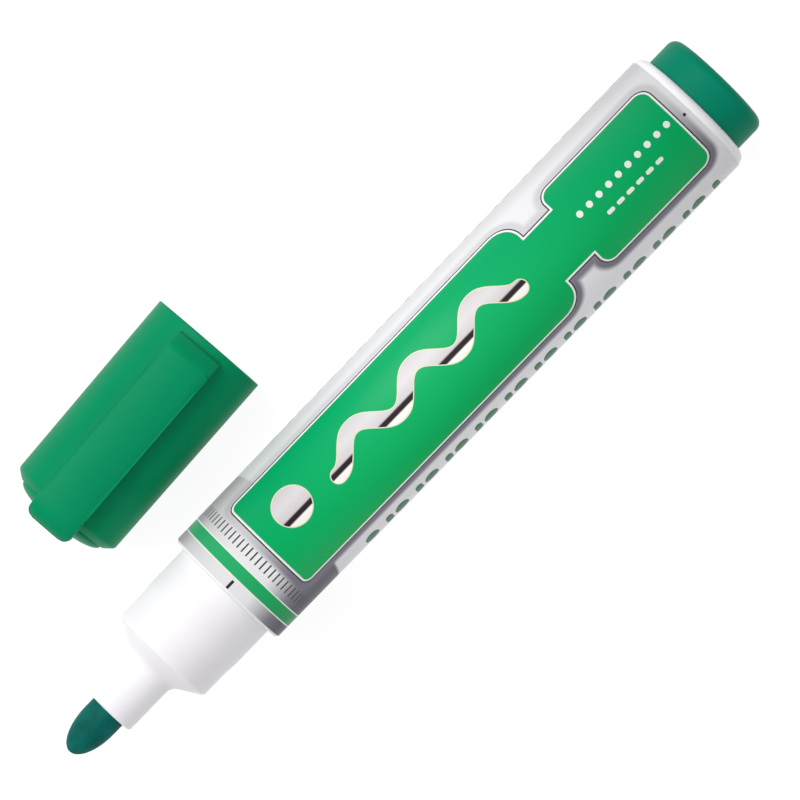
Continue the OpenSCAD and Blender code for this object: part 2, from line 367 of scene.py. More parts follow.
# Inputs and output of a colour mix
SHARE, FIRST, SECOND, MIXED = 0, 6, 7, 2


def moulded_plastic(name, base, deep, grain_mm, roughness, bump_mm, shine, subsurface=0.0):
    """Injection-moulded polypropylene: a satin skin with a faint cloudy colour
    where the melt flowed, and the fine grain of the steel mould."""
    material, tree, shader, in_mm = new_material(name)
    cloud = add(tree, "ShaderNodeTexNoise", {"noise_dimensions": "3D"},
                {"Vector": in_mm, "Scale": CLOUDS_PER_MM, "Detail": 3.0, "Roughness": 0.5})
    tint = add(tree, "ShaderNodeMix", {"data_type": "RGBA"},
               {SHARE: cloud, FIRST: deep, SECOND: base})
    tree.links.new(tint.outputs[MIXED], shader.inputs["Base Color"])
    grain = add(tree, "ShaderNodeTexNoise", {"noise_dimensions": "3D"},
                {"Vector": in_mm, "Scale": 1 / grain_mm, "Detail": 2.0})
    gloss = add(tree, "ShaderNodeMapRange", {},
                {"Value": cloud, "To Min": roughness - GLOSS_SWING, "To Max": roughness + GLOSS_SWING})
    tree.links.new(gloss.outputs[0], shader.inputs["Roughness"])
    bump = add(tree, "ShaderNodeBump", {},
               {"Height": grain, "Strength": 1.0, "Distance": bump_mm * MM})
    tree.links.new(bump.outputs[0], shader.inputs["Normal"])
    shader.inputs["IOR"].default_value = 1.49
    shader.inputs["Specular IOR Level"].default_value = shine
    if subsurface:
        shader.inputs["Subsurface Weight"].default_value = subsurface
        shader.inputs["Subsurface Radius"].default_value = (GLOW_MM, GLOW_MM, GLOW_MM)
        shader.inputs["Subsurface Scale"].default_value = MM
    return material


def fibre(name, pale, dark, thread_mm, roughness, bump_mm):
    """Bonded acrylic fibre soaked with ink: threads run along the marker, so
    the colour and the relief are drawn out lengthwise."""
    material, tree, shader, in_mm = new_material(name)
    drawn_out = add(tree, "ShaderNodeMapping", {"vector_type": "POINT"}, {"Vector": in_mm})
    drawn_out.inputs["Scale"].default_value = (THREAD_DRAW, 1, 1)
    threads = add(tree, "ShaderNodeTexNoise", {"noise_dimensions": "3D"},
                  {"Vector": drawn_out, "Scale": 1 / thread_mm, "Detail": 4.0, "Roughness": 0.65})
    blot = add(tree, "ShaderNodeTexNoise", {"noise_dimensions": "3D"},
               {"Vector": in_mm, "Scale": BLOTS_PER_MM, "Detail": 3.0})
    both = add(tree, "ShaderNodeMath", {"operation": "MULTIPLY_ADD"},
               {0: threads, 1: THREAD_PART, 2: blot})
    share = add(tree, "ShaderNodeMapRange", {},
                {"Value": both, "From Min": 0.55, "From Max": 1.05})
    tint = add(tree, "ShaderNodeMix", {"data_type": "RGBA"},
               {SHARE: share, FIRST: dark, SECOND: pale})
    tree.links.new(tint.outputs[MIXED], shader.inputs["Base Color"])
    bump = add(tree, "ShaderNodeBump", {},
               {"Height": threads, "Strength": 1.0, "Distance": bump_mm * MM})
    tree.links.new(bump.outputs[0], shader.inputs["Normal"])
    shader.inputs["Roughness"].default_value = roughness
    shader.inputs["IOR"].default_value = 1.38
    shader.inputs["Specular IOR Level"].default_value = 0.15
    return material


def clear_film(name):
    """Clear polyester film with faint stretch marks, round the ink reservoir."""
    material, tree, shader, in_mm = new_material(name)
    marks = add(tree, "ShaderNodeTexNoise", {},
                {"Vector": in_mm, "Scale": STRETCH_MARKS_PER_MM, "Detail": 2.0})
    gloss = add(tree, "ShaderNodeMapRange", {}, {"Value": marks, "To Min": 0.08, "To Max": 0.2})
    tree.links.new(gloss.outputs[0], shader.inputs["Roughness"])
    shader.inputs["Base Color"].default_value = colour("#e8ecef")
    shader.inputs["Transmission Weight"].default_value = 0.7
    shader.inputs["IOR"].default_value = 1.57
    return material


# ---------------------------------------------------------------- the print
# The printed film is drawn flat: x runs along the marker from the nib's tip,
# w round it from the top, both in mm, w positive on the side away from the cap.
# Each layer of ink is a mask, 1 where the ink is, and the ink's colour.
PRINT_R = 9.15
# The green panel is the union of these boxes: start, end, half width, corner
PANEL_BOXES = ((36.75, 83.9, 7.62, 0.9), (60.0, 86.85, 7.62, 3.1),
               (83.9, 94.8, 3.75, 0.05), (92.25, 111.05, 6.6, 1.6))
# How far its pale and its dark border reach from it
BORDER_PALE = 0.27
BORDER_DARK = 0.45
# The grey shadow round it is full up to the first distance and gone at the second
SHADOW_REACH = (0.95, 1.9)
# The shadow's strength on the cap's side and on the other, and the w between
# which it changes
SHADOW_STRENGTH = (0.3, 1.0)
SHADOW_TURN = (-5.0, 6.5)
# The silver front's soft rear edge on top, and how it draws forward down the sides
SILVER_EDGE = (42.1, 42.6)
SILVER_SLANT = 0.16
# The green ring's middle, half its width, and the white lines at its sides
RING_X = 31.8
RING_HALF = 0.84
RING_LINE = 0.16
# Rows of marks: start, end, pitch, place across, half length, half width
TICKS = (-12.3, 12.3, 0.82, 34.5, 0.11, 0.75)
DOTS = (93.3, 110.8, 1.75, -0.85, 0.45, 0.45)
DASHES = (96.4, 106.9, 1.75, 1.65, 0.6, 0.27)
# Along each flank long and short marks take turns: start and half length of each
FLANK_MARKS = ((44.0, 1.15), (47.2, 0.6))
FLANK_W = (11.9, -14.6)
FLANK_L = 64.8
FLANK_PITCH = 5.4
FLANK_HALF_W = 1.3
# Dark dashes of the painted horizon reflection on the silver: start and end of each
REFLECTED_HORIZON_DASHES = ((29.2, 30.5), (112.2, 112.6))
REFLECTED_HORIZON_HALF_W = 0.2
REFLECTED_HORIZON_CORNER = 0.12
# The waving line, the dot in front of it, and the painted reflection of a dark horizon on both
LINE_W = -1.4
LINE_SWING = 1.6
LINE_WAVES = 3
LINE_HALF = 1.0
LINE_RIM = 0.13
LINE_START, LINE_END = 49.3, 82.3
DOT_X, DOT_R = 42.4, 2.65
HORIZON_W = -0.1
HORIZON_HALF = 0.28
# Inks that change round the barrel, as (w, colour): the white ground has painted shade, greyer
# on both flanks and most on the cap's side, and the metal has a painted reflection, as a polished tube
# shows
GROUND_INK_SHADED = ((-16, "#d2d2d4"), (-11, "#dadadc"), (-8.5, "#ebebed"), (6, "#f4f3f6"),
              (11, "#eae9ee"), (16, "#e6e5ea"))
# painted reflection: the silver is bright round the top and dark down both flanks
METAL_REFLECTION_INK = ((-15, "#787579"), (-11.5, "#a9a6a9"), (-9, "#d2d0d2"), (-5.5, "#e2e0e2"),
             (-1.0, "#f1f0f1"), (3.0, "#f6f5f7"), (5.2, "#c8c7cc"), (7.2, "#8a8991"),
             (10.0, "#615f69"), (15, "#4a4851"))
# painted shade: the ring's green darkens down the flanks, most on the far side
RING_INK_SHADED = ((-13, "#2ea870"), (0, "#2cb56d"), (6, "#14ab61"), (13, "#049554"))
# painted shade that evens out the lamp: the green is darker on the cap's side and lighter on the far
# side
PANEL_INK_LIGHT_EVENED = ((-8, "#06a666"), (-4, "#05a966"), (0, "#03b065"), (5, "#01b260"), (8, "#00ad5c"))
# painted reflection: chrome greys with a dark band where a horizon reflects along the top and a bright
# band beside it
CHROME_REFLECTION_INK = ((-5, "#c9c4c6"), (-2.2, "#e0dcdd"), (HORIZON_W - 0.5, "#d4cfd0"),
              (HORIZON_W - HORIZON_HALF, "#2f2528"), (HORIZON_W + HORIZON_HALF, "#2f2528"),
              (HORIZON_W + 0.45, "#fbf8f2"), (3, "#f4efe6"))


def print_place(tree, in_mm):
    """Where a point is on the flat print: x, w, and both as one vector."""
    local = add(tree, "ShaderNodeVectorMath", {"operation": "SUBTRACT"},
                {0: in_mm, 1: tuple(TIP / MM)})
    parts = add(tree, "ShaderNodeSeparateXYZ", links={"Vector": local})
    x = parts.outputs["X"]
    away = add(tree, "ShaderNodeMath", {"operation": "MULTIPLY"}, {0: parts.outputs["Y"], 1: -1.0})
    angle = add(tree, "ShaderNodeMath", {"operation": "ARCTAN2"}, {0: away, 1: parts.outputs["Z"]})
    w = add(tree, "ShaderNodeMath", {"operation": "MULTIPLY"}, {0: angle, 1: PRINT_R})
    flat = add(tree, "ShaderNodeCombineXYZ", links={"X": x, "Y": w})
    return x, w, flat


def box_distance(tree, flat, start, end, at, half, corner):
    """How far a point is outside a box with rounded corners; negative inside."""
    centre = ((start + end) / 2, at, 0)
    core = ((end - start) / 2 - corner, half - corner, 0)
    away = add(tree, "ShaderNodeVectorMath", {"operation": "SUBTRACT"}, {0: flat, 1: centre})
    away = add(tree, "ShaderNodeVectorMath", {"operation": "ABSOLUTE"}, {0: away})
    away = add(tree, "ShaderNodeVectorMath", {"operation": "SUBTRACT"}, {0: away, 1: core})
    away = add(tree, "ShaderNodeVectorMath", {"operation": "MAXIMUM"}, {0: away, 1: (0, 0, 0)})
    length = add(tree, "ShaderNodeVectorMath", {"operation": "LENGTH"}, {0: away})
    return add(tree, "ShaderNodeMath", {"operation": "SUBTRACT"}, {0: length, 1: corner})


def panel_distance(tree, flat):
    """How far a point is outside the green panel; negative inside."""
    nearest = None
    for start, end, half, corner in PANEL_BOXES:
        box = box_distance(tree, flat, start, end, 0.0, half, corner)
        nearest = box if nearest is None else add(
            tree, "ShaderNodeMath", {"operation": "MINIMUM"}, {0: nearest, 1: box})
    return nearest


def mark_row(tree, along, across, row):
    """1 on a row of equal rounded marks, one in each pitch."""
    start, end, pitch, at, half_l, half_w = row
    shifted = add(tree, "ShaderNodeMath", {"operation": "SUBTRACT"}, {0: along, 1: start})
    inside = add(tree, "ShaderNodeMath", {"operation": "WRAP"}, {0: shifted, 1: pitch, 2: 0.0})
    flat = add(tree, "ShaderNodeCombineXYZ", links={"X": inside, "Y": across})
    corner = min(half_l, half_w)
    away = box_distance(tree, flat, pitch / 2 - half_l, pitch / 2 + half_l, at, half_w, corner)
    on_mark = add(tree, "ShaderNodeMath", {"operation": "LESS_THAN"}, {0: away, 1: 0.0})
    in_row = add(tree, "ShaderNodeMath", {"operation": "COMPARE"},
                 {0: along, 1: (start + end) / 2, 2: (end - start) / 2})
    return add(tree, "ShaderNodeMath", {"operation": "MULTIPLY"}, {0: on_mark, 1: in_row})


def graded_ink(tree, w, stops):
    """An ink whose colour changes round the barrel, from (w, hex colour) stops; the changes carry
    painted light and shade.
    """
    low, high = stops[0][0], stops[-1][0]
    share = add(tree, "ShaderNodeMapRange", {},
                {"Value": w, "From Min": low, "From Max": high})
    ink = add(tree, "ShaderNodeValToRGB", links={"Fac": share})
    elements = ink.color_ramp.elements
    while len(elements) < len(stops):
        elements.new(0.5)
    for element, (at, hex_code) in zip(elements, stops):
        element.position = (at - low) / (high - low)
        element.color = colour(hex_code)
    return ink


def drawn_line(tree, x, w, flat, grow):
    """1 on the waving line and its dot, each grown by grow mm."""
    turn = math.tau * LINE_WAVES / (LINE_END - LINE_START)
    phase = add(tree, "ShaderNodeMath", {"operation": "MULTIPLY_ADD"},
                {0: x, 1: turn, 2: -LINE_START * turn})
    height = add(tree, "ShaderNodeMath", {"operation": "COSINE"}, {0: phase})
    centre = add(tree, "ShaderNodeMath", {"operation": "MULTIPLY_ADD"},
                 {0: height, 1: LINE_SWING, 2: LINE_W})
    off = add(tree, "ShaderNodeMath", {"operation": "SUBTRACT"}, {0: w, 1: centre})
    off = add(tree, "ShaderNodeMath", {"operation": "ABSOLUTE"}, {0: off})
    # across a slope the line is measured squarely, so it keeps its width
    slope = add(tree, "ShaderNodeMath", {"operation": "SINE"}, {0: phase})
    slope = add(tree, "ShaderNodeMath", {"operation": "MULTIPLY"}, {0: slope, 1: LINE_SWING * turn})
    square = add(tree, "ShaderNodeMath", {"operation": "MULTIPLY_ADD"},
                 {0: slope, 1: slope, 2: 1.0})
    long_side = add(tree, "ShaderNodeMath", {"operation": "SQRT"}, {0: square})
    reach = add(tree, "ShaderNodeMath", {"operation": "DIVIDE"}, {0: off, 1: long_side})
    on_line = add(tree, "ShaderNodeMath", {"operation": "LESS_THAN"},
                  {0: reach, 1: LINE_HALF + grow})
    ends = add(tree, "ShaderNodeMath", {"operation": "COMPARE"},
               {0: x, 1: (LINE_START + LINE_END) / 2, 2: (LINE_END - LINE_START) / 2})
    drawn = add(tree, "ShaderNodeMath", {"operation": "MULTIPLY"}, {0: on_line, 1: ends})
    # the line's round ends, on its crests, and the dot
    crest = LINE_W + LINE_SWING
    for at, height_w, r in ((LINE_START, crest, LINE_HALF), (LINE_END, crest, LINE_HALF),
                            (DOT_X, LINE_W, DOT_R)):
        disc = box_distance(tree, flat, at - r, at + r, height_w, r, r)
        on_disc = add(tree, "ShaderNodeMath", {"operation": "LESS_THAN"}, {0: disc, 1: grow})
        drawn = add(tree, "ShaderNodeMath", {"operation": "MAXIMUM"}, {0: drawn, 1: on_disc})
    return drawn


def silver_front(tree, x, w):
    """The metal ink at the front, which ends in a soft edge; its greys are a painted reflection,
    bright on top and dark down both flanks.
    """
    side = add(tree, "ShaderNodeMath", {"operation": "ABSOLUTE"}, {0: w})
    edge = add(tree, "ShaderNodeMath", {"operation": "MULTIPLY_ADD"},
               {0: side, 1: SILVER_SLANT, 2: x})
    front = add(tree, "ShaderNodeMapRange", {"interpolation_type": "SMOOTHSTEP"},
                {"Value": edge, "From Min": SILVER_EDGE[0], "From Max": SILVER_EDGE[1],
                 "To Min": 1.0, "To Max": 0.0})
    return [(front, graded_ink(tree, w, METAL_REFLECTION_INK))]


def panel_shadow(tree, w, panel):
    """The grey shadow round the panel."""
    near = add(tree, "ShaderNodeMapRange", {"interpolation_type": "SMOOTHSTEP"},
               {"Value": panel, "From Min": SHADOW_REACH[0], "From Max": SHADOW_REACH[1],
                "To Min": 1.0, "To Max": 0.0})
    strength = add(tree, "ShaderNodeMapRange", {"interpolation_type": "SMOOTHSTEP"},
                   {"Value": w, "From Min": SHADOW_TURN[0], "From Max": SHADOW_TURN[1],
                    "To Min": SHADOW_STRENGTH[0], "To Max": SHADOW_STRENGTH[1]})
    shadow = add(tree, "ShaderNodeMath", {"operation": "MULTIPLY"}, {0: near, 1: strength})
    return [(shadow, "#7e7c88")]


def ring_and_ticks(tree, x, w):
    """The green ring between two fine white lines, and the scale behind it."""
    layers = []
    # the ring's green carries painted shade, darker towards the far side
    for grow, ink in ((RING_LINE, "#f6f8f4"), (0.0, graded_ink(tree, w, RING_INK_SHADED))):
        ring = add(tree, "ShaderNodeMath", {"operation": "COMPARE"},
                   {0: x, 1: RING_X, 2: RING_HALF + grow})
        layers.append((ring, ink))
    layers.append((mark_row(tree, w, x, TICKS), "#4a484e"))
    return layers


def panel_and_line(tree, x, w, flat, panel):
    """The panel's two borders and its green, graded with painted shade, then the line in chrome ink
    with a painted reflection of a dark horizon.
    """
    layers = []
    # the panel's green carries painted shade that evens out the lamp
    for reach, ink in ((BORDER_DARK, "#3c3438"), (BORDER_PALE, "#f7f9f5"),
                       (0.0, graded_ink(tree, w, PANEL_INK_LIGHT_EVENED))):
        inside = add(tree, "ShaderNodeMath", {"operation": "LESS_THAN"}, {0: panel, 1: reach})
        layers.append((inside, ink))
    # the line's chrome ink is a painted reflection, with a dark horizon band
    for grow, ink in ((LINE_RIM, "#e7e3c6"), (0.0, graded_ink(tree, w, CHROME_REFLECTION_INK))):
        layers.append((drawn_line(tree, x, w, flat, grow), ink))
    return layers


def small_marks(tree, x, w, flat):
    """Dots and dashes on the small panel, dark dashes of painted horizon reflection on the silver, and
    the flanks' marks.
    """
    layers = [(mark_row(tree, x, w, row), "#f5fbf2") for row in (DOTS, DASHES)]
    # painted reflection: dark dashes where the horizon reflects on the silver
    for start, end in REFLECTED_HORIZON_DASHES:
        away = box_distance(tree, flat, start, end, HORIZON_W, REFLECTED_HORIZON_HALF_W, REFLECTED_HORIZON_CORNER)
        speck_and_reflection = add(tree, "ShaderNodeMath", {"operation": "LESS_THAN"}, {0: away, 1: 0.0})
        layers.append((speck_and_reflection, "#3a3236"))
    for at in FLANK_W:
        for start, half_l in FLANK_MARKS:
            row = (start, start + FLANK_L, FLANK_PITCH, at, half_l, FLANK_HALF_W)
            layers.append((mark_row(tree, x, w, row), "#1a6a40"))
    return layers


def printed_film():
    """Gloss polypropylene film, gravure printed: a green panel with a fine
    double border, and greys that are a painted reflection of polished metal.
    Painted shade grades the white ground, the ring and the panel round the barrel."""
    material, tree, shader, in_mm = new_material("printed_gloss_film")
    x, w, flat = print_place(tree, in_mm)
    panel = panel_distance(tree, flat)
    # the white ground, with painted shade greyer down both flanks
    paint = graded_ink(tree, w, GROUND_INK_SHADED)
    layers = (silver_front(tree, x, w) + panel_shadow(tree, w, panel) + ring_and_ticks(tree, x, w)
              + panel_and_line(tree, x, w, flat, panel) + small_marks(tree, x, w, flat))
    for mask, ink in layers:
        paint = add(tree, "ShaderNodeMix", {"data_type": "RGBA"},
                    {SHARE: mask, FIRST: paint, SECOND: ink})
    tree.links.new(paint.outputs[MIXED], shader.inputs["Base Color"])
    ripple = add(tree, "ShaderNodeTexNoise", {},
                 {"Vector": in_mm, "Scale": RIPPLES_PER_MM, "Detail": 2.0})
    bump = add(tree, "ShaderNodeBump", {},
               {"Height": ripple, "Strength": 1.0, "Distance": RIPPLE_DEPTH * MM})
    tree.links.new(bump.outputs[0], shader.inputs["Normal"])
    shader.inputs["Roughness"].default_value = 0.36
    shader.inputs["IOR"].default_value = 1.49
    shader.inputs["Specular IOR Level"].default_value = 0.15
    return material


# ---------------------------------------------------------------- pieces
def make_nib(material):
    bm = bmesh.new()
    shoulder = dome(bm, 0, NIB_R, NIB_POINT_L, -1)
    rear = ((NIB_END - NIB_END_EDGE, NIB_R), (NIB_END, NIB_R - NIB_END_EDGE), (NIB_END, 0))
    verts = [shoulder] + [bm.verts.new((x, 0, r)) for x, r in rear]
    for a, b in zip(verts, verts[1:]):
        bm.edges.new((a, b))
    spin_wire(bm)
    return finish_piece(bm, "fibre_nib", MARKER, "marker", material, "nib")


def cone_inner_x(r):
    """Where the inside of the cone reaches radius r."""
    slope = (COLLAR_R - NOZZLE_R) / CONE_L
    shift = SECTION_WALL * math.hypot(1, slope) / slope
    return NOZZLE_X + NOZZLE_L + (r - NOZZLE_R) / slope + shift


def make_front_section(material):
    cone_x = NOZZLE_X + NOZZLE_L
    collar_x = cone_x + CONE_L
    bore_r = NIB_R + NIB_GAP
    outline = (
        (NOZZLE_X, bore_r, 0), (NOZZLE_X, bore_r + VENT_DEPTH, 0), (NOZZLE_X, NOZZLE_R, NOZZLE_EDGE),
        (cone_x, NOZZLE_R, CONE_ROOT), (collar_x, COLLAR_R, CONE_EDGE),
        (collar_x + COLLAR_L, COLLAR_R, SEAT_EDGE), (SEAT_X, SEAT_R, SEAT_EDGE),
        (BARREL_X, SEAT_R, 0), (BARREL_X, SKIRT_R, 0), (SKIRT_END, SKIRT_R, SKIRT_EDGE),
        (SKIRT_END, CORE_BORE_R, 0), (cone_inner_x(CORE_BORE_R), CORE_BORE_R, 0),
        (cone_inner_x(bore_r), bore_r, 0))
    bm = bmesh.new()
    draw_outline(bm, outline, closed=True)
    spin_wire(bm)
    cut_vents(bm, bore_r)
    return finish_piece(
        bm, "nozzle_and_collar", MARKER, "marker", material, "front_section")


def in_vent(point):
    """Whether a point lies in one of the air channels' sectors."""
    turn = math.tau / VENT_COUNT
    angle = math.atan2(point.y, point.z)
    off = (angle + turn / 2) % turn - turn / 2
    return abs(off) * NIB_R < VENT_W / 2


def cut_vents(bm, bore_r):
    """Sinks the air channels beside the nib and opens their front ends."""
    bore_end = cone_inner_x(bore_r)
    wall = []
    for face in bm.faces:
        c = face.calc_center_median()
        on_bore = abs(math.hypot(c.y, c.z) - bore_r) < ON_FACE
        if on_bore and c.x < bore_end and in_vent(c):
            wall.append(face)
    made = bmesh.ops.extrude_face_region(bm, geom=wall)["geom"]
    bmesh.ops.delete(bm, geom=wall, context="FACES")
    share = (bore_r + VENT_DEPTH) / bore_r
    sunk = [v for v in made if isinstance(v, bmesh.types.BMVert)]
    bmesh.ops.scale(bm, vec=(1, share, share), verts=sunk)
    bmesh.ops.remove_doubles(bm, verts=bm.verts, dist=SAME_POINT)
    covers = []
    for face in bm.faces:
        c = face.calc_center_median()
        small = math.hypot(c.y, c.z) < bore_r + VENT_DEPTH
        if abs(c.x - NOZZLE_X) < ON_FACE and small and in_vent(c):
            covers.append(face)
    bmesh.ops.delete(bm, geom=covers, context="FACES")


def make_barrel(material):
    ledge_x = SPIGOT_X - REAR_SOCKET_SPARE
    outline = (
        (BARREL_X, FRONT_SOCKET_R, 0), (BARREL_X, BARREL_FRONT_R, FRONT_EDGE),
        (TAIL_X, BARREL_REAR_R, REAR_EDGE), (TAIL_X, REAR_SOCKET_R, REAR_SOCKET_EDGE),
        (ledge_x, REAR_SOCKET_R, 0), (ledge_x, BARREL_BORE_R, 0),
        (SKIRT_END, BARREL_BORE_R, 0), (SKIRT_END, FRONT_SOCKET_R, 0))
    bm = bmesh.new()
    draw_outline(bm, outline, closed=True)
    spin_wire(bm)
    return finish_piece(bm, "barrel_tube", MARKER, "marker", material, "barrel")


def make_label(material):
    proud = FILM_GLUE + FILM_T
    bm = bmesh.new()
    outline = ((FILM_X, BARREL_FRONT_R + proud, 0), (FILM_END, BARREL_REAR_R + proud, 0))
    draw_outline(bm, outline, closed=False)
    gap = FILM_SEAM / BARREL_REAR_R
    start = math.radians(SEAM_ANGLE) + gap / 2
    bmesh.ops.rotate(bm, cent=(0, 0, 0), matrix=Matrix.Rotation(start, 3, "X"), verts=bm.verts)
    spin_wire(bm, math.tau - gap)
    obj = finish_piece(bm, "printed_wrap", MARKER, "marker", material, "label_film")
    wall = obj.modifiers.new("film", "SOLIDIFY")
    wall.thickness = FILM_T * MM
    wall.offset = -1
    return obj


def make_tail_plug(material):
    inside_end = END_X - PLUG_END_T
    outline = (
        (END_X - GATE_DEPTH, 0, 0), (END_X - GATE_DEPTH, GATE_R, 0.05),
        (END_X, GATE_R + GATE_DRAFT, 0.08), (END_X, PLUG_R, PLUG_EDGE), (TAIL_X, PLUG_R, 0.1),
        (TAIL_X, SPIGOT_R, 0), (SPIGOT_X, SPIGOT_R, SPIGOT_EDGE), (SPIGOT_X, CORE_BORE_R, 0),
        (inside_end, CORE_BORE_R, PLUG_INNER_EDGE), (inside_end, 0, 0))
    bm = bmesh.new()
    draw_outline(bm, outline, closed=False)
    spin_wire(bm)
    return finish_piece(bm, "end_plug", MARKER, "marker", material, "tail_plug")


def make_cap_shell(material):
    outline = (
        (MOUTH_BEVEL, CAP_BORE_R, 0), (0, CAP_BORE_R + MOUTH_BEVEL, 0.08), (0, CAP_R, 0.18),
        (CAP_L - END_BEVEL_L, CAP_END_R, 0.3), (CAP_L, LIP_R, 0.12), (CAP_L - END_LIP_T, LIP_R, 0),
        (CAP_L - END_LIP_T, CAP_DEEP_R, 0.2), (RIM_U, CAP_DEEP_R, 0), (RIM_U, CAP_BORE_R, 0.2))
    bm = bmesh.new()
    draw_outline(bm, outline, closed=True)
    spin_wire(bm)
    for i in range(RIB_COUNT):
        add_rib(bm, i * math.tau / RIB_COUNT)
    add_clip(bm)
    return finish_piece(bm, "cap_with_clip", CAP, "cap", material, "cap_shell")


def add_rib(bm, angle):
    """One of the ribs that hold the inner cup, rooted in the cap's wall."""
    start, end = RIM_U + RIB_SETBACK, CAP_L - END_LIP_T
    low, high = CUP_R + PRESS_GAP, CAP_DEEP_R + RIB_ROOT
    size = Matrix.Diagonal((end - start, RIB_T, high - low, 1))
    middle = Matrix.Translation(((start + end) / 2, 0, (low + high) / 2))
    bmesh.ops.create_cube(bm, size=1, matrix=Matrix.Rotation(angle, 4, "X") @ middle @ size)


def clip_top(u):
    """Radius of the clip's outer face at u."""
    outer = CLIP_INNER_R + CLIP_T
    slope_end = CLIP_START + CLIP_SLOPE_L
    low = BEAD_R + NOSE_T
    if u < slope_end:
        share = (u - CLIP_START) / CLIP_SLOPE_L
        return low + (outer - low) * (1 - (1 - share) ** CLIP_SLOPE_CURVE)
    share = max(0.0, u - (CLIP_NOSE - NOSE_L)) / NOSE_L
    return CAP_END_R + (outer - CAP_END_R) * math.sqrt(max(0.0, 1 - share * share))


def clip_under(u):
    """Radius of the clip's inner face at u."""
    for (u0, _, r0), (u1, _, r1) in zip(CLIP_STATIONS, CLIP_STATIONS[1:]):
        if u <= u1:
            return r0 + (r1 - r0) * max(0.0, u - u0) / (u1 - u0)
    return CLIP_STATIONS[-1][2]


def clip_half_width(u):
    """Half the clip's width at u, drawn in round the nose's corners."""
    into = max(0.0, u - (CLIP_NOSE - NOSE_CORNER))
    return CLIP_W / 2 - NOSE_CORNER + math.sqrt(max(0.0, NOSE_CORNER ** 2 - into ** 2))


def add_clip(bm):
    """The clip, from a flat strip that is shaped, thickened and rounded."""
    stations = [CLIP_STATIONS[0][0]]
    for (u0, _, _), (u1, count, _) in zip(CLIP_STATIONS, CLIP_STATIONS[1:]):
        stations += [u0 + (u1 - u0) * (i + 1) / count for i in range(count)]
    rows = len(stations) - 1
    strip = bmesh.ops.create_grid(bm, x_segments=rows, y_segments=CLIP_STEPS_ACROSS, size=0.5)
    top = strip["verts"]
    for vert in top:
        u = stations[round((vert.co.x + 0.5) * rows)]
        vert.co.x = u
        vert.co.y *= 2 * clip_half_width(u)
    top_set = set(top)
    faces = [face for face in bm.faces if face.verts[0] in top_set]
    made = bmesh.ops.extrude_face_region(bm, geom=faces, use_keep_orig=True)["geom"]
    under = [v for v in made if isinstance(v, bmesh.types.BMVert)]
    for verts, height in ((top, clip_top), (under, clip_under)):
        for vert in verts:
            vert.co.z = math.sqrt(height(vert.co.x) ** 2 - vert.co.y ** 2)
    under_set = set(under)
    rim = []
    for edge in bm.edges:
        beside_under = any(v in under_set for face in edge.link_faces for v in face.verts)
        if beside_under and all(v in top_set for v in edge.verts):
            rim.append(edge)
    bmesh.ops.bevel(
        bm, geom=rim, offset=CLIP_EDGE, offset_type="OFFSET", segments=CLIP_EDGE_STEPS, profile=0.5,
        affect="EDGES", material=-1, clamp_overlap=True)
    # the rounding leaves slivers where the nose's corners meet it
    bmesh.ops.remove_doubles(bm, verts=bm.verts, dist=SLIVER_W)
    bmesh.ops.dissolve_degenerate(bm, dist=SLIVER_W / 2, edges=bm.edges)


def make_inner_cup(material):
    bm = bmesh.new()
    rims = []
    for wall in (0, CUP_WALL):
        shoulder = dome(bm, CAP_L + CUP_PROUD - wall, CUP_R - wall, CUP_PROUD, 1)
        rims.append(bm.verts.new((RIM_U, 0, CUP_R - wall)))
        bm.edges.new((rims[-1], shoulder))
    bm.edges.new(rims)
    round_corners(bm, [(rim, CUP_RIM_EDGE) for rim in rims])
    spin_wire(bm)
    return finish_piece(bm, "seal_cup", CAP, "cap", material, "cap_inner_cup")


# ---------------------------------------------------------------- studio
# The camera's place and aim are given from a point on the table under the nib's tip
UNDER_TIP = Vector((TIP.x, TIP.y, CAD_BOX[0].z))
CAMERA_AT = UNDER_TIP + Vector((56.77, 1.298, 832.0)) * MM
CAMERA_TARGET = UNDER_TIP + Vector((61.63, 0.858, 0.0)) * MM
# The way the picture's right side points, in degrees round from +X
CAMERA_RIGHT_ANGLE = -45.956
CAMERA_LENS = 289.9
SOFTBOX_AT = (-0.2, 0.62, 0.78)
SOFTBOX_SIZE = 0.8
SOFTBOX_WATTS = 7.6
# The room's brightness at the walls' foot and at the ceiling
WALL_GLOW = 0.13
CEILING_GLOW = 0.86
TABLE_HALF = 3.0
TABLE_DROP = 0.02


def make_floor():
    """A pale matte table top, lit from below so that shadows on it stay faint."""
    material, tree, shader, in_mm = new_material("pale_table_laminate")
    speck_and_reflection = add(tree, "ShaderNodeTexNoise", {},
                {"Vector": in_mm, "Scale": SPECKS_PER_MM, "Detail": 2.0})
    tint = add(tree, "ShaderNodeMix", {"data_type": "RGBA"},
               {SHARE: speck_and_reflection, FIRST: "#6a6a6a", SECOND: "#727272"})
    tree.links.new(tint.outputs[MIXED], shader.inputs["Base Color"])
    shader.inputs["Roughness"].default_value = 0.9
    shader.inputs["Specular IOR Level"].default_value = 0.1
    shader.inputs["Emission Color"].default_value = colour("#ffffff")
    shader.inputs["Emission Strength"].default_value = 0.9
    bm = bmesh.new()
    bmesh.ops.create_grid(bm, x_segments=1, y_segments=1, size=TABLE_HALF)
    bmesh.ops.translate(bm, vec=(0, 0, CAD_BOX[0].z - TABLE_DROP * MM), verts=bm.verts)
    mesh = bpy.data.meshes.new("table")
    bm.to_mesh(mesh)
    bm.free()
    mesh.materials.append(material)
    floor = bpy.data.objects.new("table", mesh)
    bpy.context.scene.collection.objects.link(floor)


